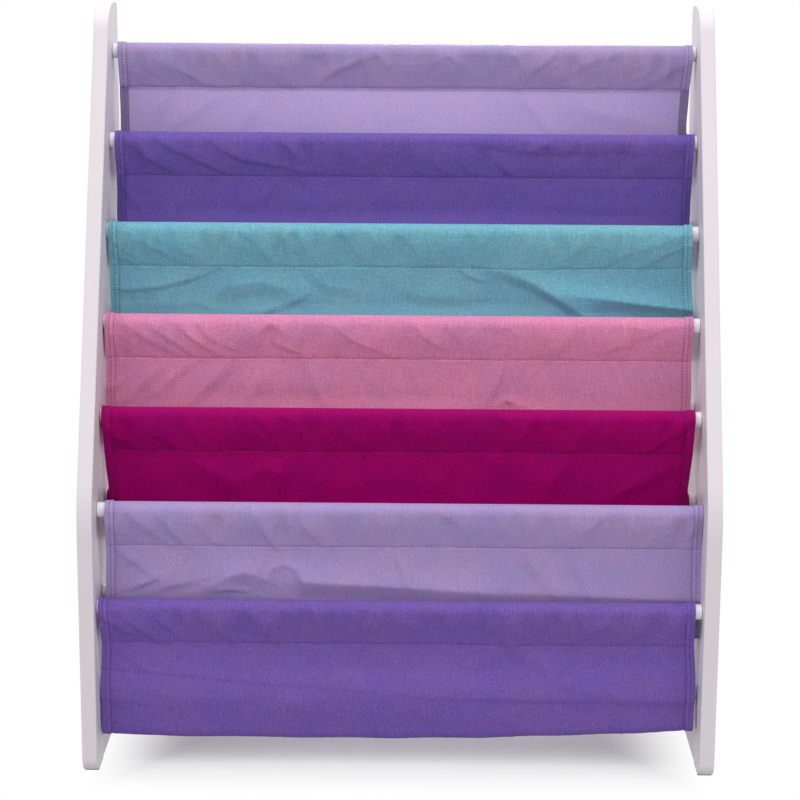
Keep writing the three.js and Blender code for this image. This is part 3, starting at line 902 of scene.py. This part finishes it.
def slingSurface(tier):
    # Every grid point of one sling, with the flat cloth's own coordinates
    low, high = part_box(f"sling_{tier}")
    front = boxMiddle(f"front_dowel_{tier}")
    back = boxMiddle(f"rear_dowel_{tier}")
    reach = np.array([back.y - front.y, back.z - front.z])
    points, lengths, marks = slingPath(reach)
    rows = rowPlaces(marks, lengths[-1])
    width = sling["width"]
    columns = columnPlaces(width)
    depth = np.interp(rows, lengths, points[:, 0])
    rise = np.interp(rows, lengths, points[:, 1])
    slopeY = np.gradient(depth, rows)
    slopeZ = np.gradient(rise, rows)
    size = np.hypot(slopeY, slopeZ)
    # The side that faces out, at the front of the sling and under its trough
    outY, outZ = (slopeZ / size)[:, None], (-slopeY / size)[:, None]
    across, along = np.meshgrid(columns, rows)
    leaves, seam, bottom = marks["round"], marks["sleeve"], marks["leg"]
    share = 2 * across / width
    stretches = [0, marks["hem"], marks["over"], leaves, seam,
                 seam + hang["drawnDrop"], bottom, marks["rearSeam"]]

    def inwards(atSeam, below):
        # How far one side edge is drawn in, all along the cloth
        atDowel = hang["drawnShare"] * atSeam
        return np.interp(along, stretches, [atSeam, atSeam, 0, atDowel, atSeam, below, below, 0])

    def zone(name, first, second, last):
        # 1 well inside the zone and 0 outside it
        (start, full), (fade, end) = hang[name]
        entered = smoothStep(along, first + start, second + full)
        return entered * (1 - smoothStep(along, last + fade, last + end))

    edges = np.array(drawnIn[tier]) / 1000
    drawn = np.where(share < 0, -inwards(*edges[:2]), inwards(*edges[2:])) * abs(share) ** 1.5
    ruffle = noiseField(np.sign(across) * 3.1, along / hang["ruffleLength"], 5.9 * tier)
    drawn = drawn + ruffle * hang["ruffleHeight"] * share ** 8
    lift = hang["endLift"] * share ** 2 + hang["rightLift"].get(tier, 0) * np.maximum(0, share) ** 1.5
    x = (low.x + high.x) / 2 + across - drawn
    y = front.y + depth[:, None]
    lower = zone("liftZone", seam, bottom, bottom)
    z = front.z + rise[:, None] + lower * (lift - hang["sag"].get(tier, 0))

    def waves(across, size, seed):
        return noiseField(across / size[0], along / size[1], 7.3 * tier + seed)

    down = along - leaves
    sleeve = zone("sleeveZone", leaves, leaves, seam)
    leg = zone("legZone", seam, seam, bottom)
    facing = zone("facingZone", marks["over"], leaves, bottom)
    pulled = across / (1 - hang["dragLean"] * np.clip(down, *hang["leanSpan"]))
    dragWidth = hang["dragSize"][0]
    drags = waves(pulled, hang["dragSize"], 0)
    fine = waves(pulled, (hang["fineSize"][0] * dragWidth, hang["fineSize"][1]), 3)
    billow = waves(across, hang["billowSize"], 11)
    scallops = hang["scallopTop"] - hang["tuckDepth"] * np.abs(waves(across, hang["scallopSize"], 17))
    ripple = waves(across, hang["puckerSize"], 23)
    dragShare, fineShare = hang["sleeveShares"]
    height = hang["dragHeight"] * sleeve * (dragShare * np.abs(drags) + fineShare * fine)
    height += leg * (hang["billowHeight"] * billow + hang["legShare"] * hang["dragHeight"] * fine)
    belly = down - hang["standOffAt"]
    belly = bell(belly, np.where(belly < 0, *hang["standOffReach"]))
    height += (hang["standOff"] + hang["scallopHeight"] * scallops) * belly
    height += hang["puckerHeight"] * ripple * bell(along - seam, hang["puckerReach"])
    seenX, seenY = seenAt(np.stack([x, y + 0 * x, z], axis=-1))
    placed = sum(foldHeight(seenX, seenY, *fold) for fold in folds[tier])
    strength = hang["foldShare"][tier] * (1 - leg) + hang["lowerFoldShare"] * leg
    height += facing * strength * placed / 1000
    edge = width / 2 - abs(across)
    grooves = [(along - seam, "seamGroove"), (along - marks["rearSeam"], "seamGroove"),
               (edge - sling["hemWidth"], "hemGroove")]
    for aside, name in grooves:
        height -= hang[name][0] * bell(aside, hang[name][1])
    # The side hems stand out by what they are thicker. The outer face is held about a sleeve's
    # radius off the middle of both dowels, so that no fold sinks deep into one.
    hems = (sling["hemThickness"] - sling["clothThickness"]) * inHem(edge)
    away = np.minimum(np.hypot(depth, rise), np.hypot(depth - reach[0], rise - reach[1]))
    height = np.maximum(height + hems, hems - (away - sling["sleeveRadius"])[:, None])
    y = y + outY * height
    z = z + outZ * height
    return np.stack([x, y, z], axis=-1), columns, rows, marks, lengths[-1]


def makeSling(tier):
    surface, columns, rows, marks, length = slingSurface(tier)
    deselectAll()
    counts = {"x_subdivisions": len(columns) - 1, "y_subdivisions": len(rows) - 1}
    bpy.ops.mesh.primitive_grid_add(size=1, calc_uvs=True, **counts)
    piece = bpy.context.object
    piece.name = f"sling_{tier}_cloth"
    mesh = piece.data
    mesh.vertices.foreach_set("co", surface.reshape(-1))
    # The flat cloth in metres, from the grid's own corners
    width = columns[-1] - columns[0]
    flatX = np.tile(columns - columns[0], len(rows))
    flatY = np.repeat(rows, len(columns))
    corners = np.zeros(len(mesh.loops), int)
    mesh.loops.foreach_get("vertex_index", corners)
    layer = mesh.uv_layers[0]
    layer.name = "flatCloth"
    layer.data.foreach_set("uv", np.column_stack([flatX[corners], flatY[corners]]).reshape(-1))
    # The folded hems make the cloth thicker at both sides
    hems = piece.vertex_groups.new(name="hems")
    thin = sling["clothThickness"] / sling["hemThickness"]
    edge = np.minimum(flatX, width - flatX)
    thick = thin + (1 - thin) * inHem(edge)
    for level in (thin, 1.0):
        hems.add([int(i) for i in np.flatnonzero(np.isclose(thick, level))], level, "REPLACE")
    mesh.update()
    addModifier(piece, "SOLIDIFY", {
        "thickness": sling["hemThickness"], "offset": 1.0 if facesIn(mesh) else -1.0,
        "vertex_group": "hems", "use_rim": True, "use_even_offset": True,
    })
    smoothFaces(piece, sling["smoothAngle"])
    dress(piece, makeCloth(tier, slingColours[tier], float(marks["sleeve"])))
    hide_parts(f"sling_{tier}")
    return piece, surface, columns, rows, marks, length


def facesIn(mesh):
    # Whether the grid's faces look away from the outer side, told by one at the cloth's front
    lowest = min(mesh.polygons, key=lambda face: face.center.z)
    return lowest.normal.z > 0


# Stitches

stitch = {
    "length": 0.0025, "pitch": 0.0031, "thickness": 0.0005, "proud": 0.00002, "segments": 6, "rings": 4,
    "seed": 40, "stray": 0.0001, "belowSeam": 0.0001,
    # How far a row's first and last stitch lie from the cloth's edges
    "acrossEnds": (0.003, 0.002), "alongEnds": (0.004, 0.003),
}


def stitchShape():
    deselectAll()
    bpy.ops.mesh.primitive_uv_sphere_add(segments=stitch["segments"], ring_count=stitch["rings"], radius=0.5)
    ball = bpy.context.object
    vertices = np.array([v.co for v in ball.data.vertices]) * (
        stitch["thickness"], stitch["thickness"], stitch["length"])
    faces = [tuple(face.vertices) for face in ball.data.polygons]
    bpy.data.objects.remove(ball)
    return vertices, faces


def sampleSurface(surface, columns, rows, across, along):
    column = np.clip(np.interp(across, columns, np.arange(len(columns))), 0, len(columns) - 1.001)
    row = np.clip(np.interp(along, rows, np.arange(len(rows))), 0, len(rows) - 1.001)
    c, r = int(column), int(row)
    u, v = column - c, row - r
    corner = surface[r:r + 2, c:c + 2]
    place = (corner[0, 0] * (1 - u) * (1 - v) + corner[0, 1] * u * (1 - v)
             + corner[1, 0] * (1 - u) * v + corner[1, 1] * u * v)
    sideways = corner[0, 1] - corner[0, 0]
    down = corner[1, 0] - corner[0, 0]
    return place, sideways / np.linalg.norm(sideways), down / np.linalg.norm(down)


def makeStitches(tier, surface, columns, rows, marks, length):
    shape, faces = stitchShape()
    jitter = random.Random(stitch["seed"] + tier)
    rowsOfStitches = [("across", marks["sleeve"] + stitch["belowSeam"]), ("across", marks["rearSeam"])]
    for inset in sling["hemStitches"]:
        rowsOfStitches += [("along", inset - columns[-1]), ("along", columns[-1] - inset)]
    allVertices, allFaces = [], []
    for direction, at in rowsOfStitches:
        first, last = stitch[f"{direction}Ends"]
        if direction == "across":
            places = [(p, at) for p in np.arange(columns[0] + first, columns[-1] - last, stitch["pitch"])]
        else:
            places = [(at, p) for p in np.arange(first, length - last, stitch["pitch"])]
        for across, along in places:
            across += jitter.uniform(-stitch["stray"], stitch["stray"])
            along += jitter.uniform(-stitch["stray"], stitch["stray"])
            place, sideways, down = sampleSurface(surface, columns, rows, across, along)
            outward = np.cross(sideways, down)
            way = sideways if direction == "across" else down
            other = np.cross(way, outward)
            turned = shape @ np.array([other, outward, way])
            turned += place + outward * stitch["proud"]
            allFaces += [tuple(i + len(allVertices) * len(shape) for i in face) for face in faces]
            allVertices.append(turned)
    piece = addMesh(f"sling_{tier}_stitches", np.vstack(allVertices).tolist(), allFaces)
    bpy.ops.object.shade_smooth()
    return dress(piece, threads[tier])


for tier in tiers:
    piece, surface, columns, rows, marks, length = makeSling(tier)
    stitches = makeStitches(tier, surface, columns, rows, marks, length)
    float(columns[-1] - columns[0])
    print("sling", tier, "hung:", len(piece.data.polygons), "faces")


# Floor, light and camera

floor = {
    "size": 30.0, "colour": 0.67, "bounce": 0.48, "lift": 0.01,
    # Where the shadow starts to fade and where it has gone, beside, before and behind the rack
    "beside": (0.2, 0.31), "before": (0.03, 0.195), "behind": (0.15, 0.5),
}


def makeFloor():
    deselectAll()
    bpy.ops.mesh.primitive_plane_add(size=floor["size"], location=(0, 0, 0))
    piece = bpy.context.object
    piece.name = "studio_floor"
    finish = Finish("studioFloor")
    where = finish.objectPlace()
    aside = finish.maths("ABSOLUTE", finish.axis(where, 0))
    depth = finish.axis(where, 1)
    far = 0.0
    for value, span in ((aside, floor["beside"]), (depth * -1, floor["before"]), (depth, floor["behind"])):
        far = finish.maths("MAXIMUM", far, finish.ranged(value, *span, "SMOOTHSTEP"))
    paper = finish.add("ShaderNodeBsdfDiffuse", {}, {"Color": (floor["colour"],) * 3 + (1,)})
    dim = finish.add("ShaderNodeBsdfDiffuse", {}, {"Color": (floor["bounce"],) * 3 + (1,)})
    white = finish.add("ShaderNodeEmission", {}, {"Color": (1, 1, 1, 1), "Strength": 1.0})
    near = finish.mixShaders(floor["lift"], paper, white)
    seen = finish.mixShaders(far, near, white)
    piece.data.materials.append(finish.finish(finish.mixShaders(finish.direct(), dim, seen)))


makeFloor()

light = {
    "top": {"place": (-0.3, -0.1, 5.0), "aim": (0, 0, 0.4), "size": 3.0, "power": 88},
    # A narrow beam on the back of the top sling, which the photograph shows lit through
    "back": {"place": (0.0, 1.5, 1.3), "aim": (0, 0.1, 0.6), "size": 0.5, "power": 0.95, "spread": 24},
    "world": 1.12,
}


def addLamp(name, values):
    aim = Vector(values["aim"]) - Vector(values["place"])
    bpy.ops.object.light_add(type="AREA", location=values["place"],
                             rotation=aim.to_track_quat("-Z", "Y").to_euler())
    lamp = bpy.context.object
    lamp.name = name
    lamp.data.shape = "DISK"
    lamp.data.size = values["size"]
    lamp.data.energy = values["power"]
    lamp.data.spread = math.radians(values.get("spread", 180))


addLamp("top_light", light["top"])
addLamp("back_light", light["back"])


def addWorld():
    finish = Finish("studioWorld", bpy.data.worlds, "ShaderNodeOutputWorld")
    strength = light["world"] + finish.direct() * (1 - light["world"])
    background = finish.add("ShaderNodeBackground", {}, {"Color": (1, 1, 1, 1), "Strength": strength})
    bpy.context.scene.world = finish.finish(background)


addWorld()


def addCamera():
    bpy.ops.object.camera_add()
    piece = bpy.context.object
    piece.name = "photo_camera"
    piece.data.sensor_width = camera["sensor"]
    piece.data.lens = camera["lens"]
    piece.data.clip_end = 100
    piece.matrix_world = Matrix.Translation(camera["place"]) @ cameraTurn.to_4x4()
    bpy.context.scene.camera = piece


addCamera()
bpy.context.scene.view_settings.view_transform = "Standard"
deselectAll()
print("stage set")
